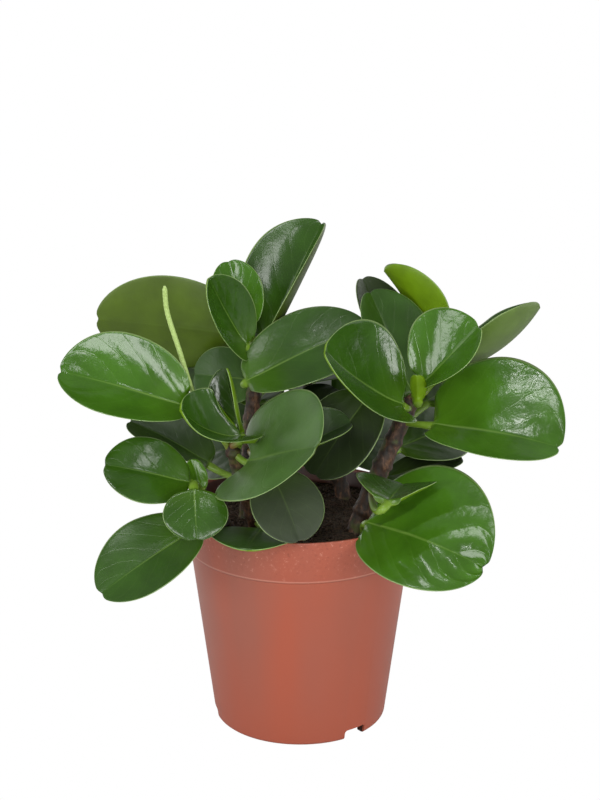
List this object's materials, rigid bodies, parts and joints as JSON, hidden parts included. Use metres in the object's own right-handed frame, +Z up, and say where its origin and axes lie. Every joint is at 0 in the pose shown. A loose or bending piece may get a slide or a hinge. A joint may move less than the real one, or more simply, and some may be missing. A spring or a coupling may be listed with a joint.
{
  "type": "potted peperomia",
  "caption": "Bushy houseplant with thick oval cupped leaves on short stems, growing from soil in a tapered round plastic nursery pot.",
  "frame": {"origin": "on the pot's vertical axis, in the plane that its feet stand on: the middle of the mount base", "axes": "+Z up out of the pot, -Y towards the front of the plant, +X to the right seen from the front"},
  "size_m": [0.2411, 0.1967, 0.2546],
  "materials": {
    "terracotta_plastic": "satin moulded plastic",
    "peat_soil": "rough damp peat with fibres",
    "stem_bark": "rough corky skin",
    "leaf_green": "waxy gloss",
    "spike_pale_green": "matte"
  },
  "bodies": {
    "root": {"pot": "terracotta_plastic", "soil": "peat_soil", "stem_left": "stem_bark", "stem_tall": "stem_bark", "stem_low": "stem_bark", "stem_right": "stem_bark", "stem_front": "stem_bark", "stem_back": "stem_bark", "leaf_top": "leaf_green", "leaf_top_left": "leaf_green", "leaf_top_scoop": "leaf_green", "leaf_middle_dark": "leaf_green", "leaf_top_bright": "leaf_green", "leaf_left_pale": "leaf_green", "leaf_left_inner": "leaf_green", "leaf_left_scoop": "leaf_green", "leaf_left_upright": "leaf_green", "leaf_front_big": "leaf_green", "leaf_left_big": "leaf_green", "leaf_left_dark": "leaf_green", "leaf_front_low": "leaf_green", "leaf_rim": "leaf_green", "leaf_low_dark": "leaf_green", "leaf_low_round": "leaf_green", "leaf_low_left": "leaf_green", "leaf_low_young": "leaf_green", "leaf_centre_dark": "leaf_green", "leaf_centre_pale": "leaf_green", "leaf_centre_back": "leaf_green", "leaf_right_scoop": "leaf_green", "leaf_right_cup": "leaf_green", "leaf_right_young": "leaf_green", "leaf_right_back": "leaf_green", "leaf_right_behind": "leaf_green", "leaf_right_top": "leaf_green", "leaf_right_pale": "leaf_green", "leaf_right_big": "leaf_green", "leaf_right_fold": "leaf_green", "leaf_right_low_cup": "leaf_green", "leaf_right_low": "leaf_green", "leaf_back_tall_low": "leaf_green", "leaf_back_tall_left": "leaf_green", "leaf_back_tall_right": "leaf_green", "leaf_back_top": "leaf_green", "leaf_back_left": "leaf_green", "leaf_back_right": "leaf_green", "leaf_back_middle": "leaf_green", "leaf_back_low_left": "leaf_green", "leaf_back_low_right": "leaf_green", "leaf_back_side": "leaf_green", "leaf_back_side_low": "leaf_green", "flower_spike": "spike_pale_green"}
  },
  "joints": []
}
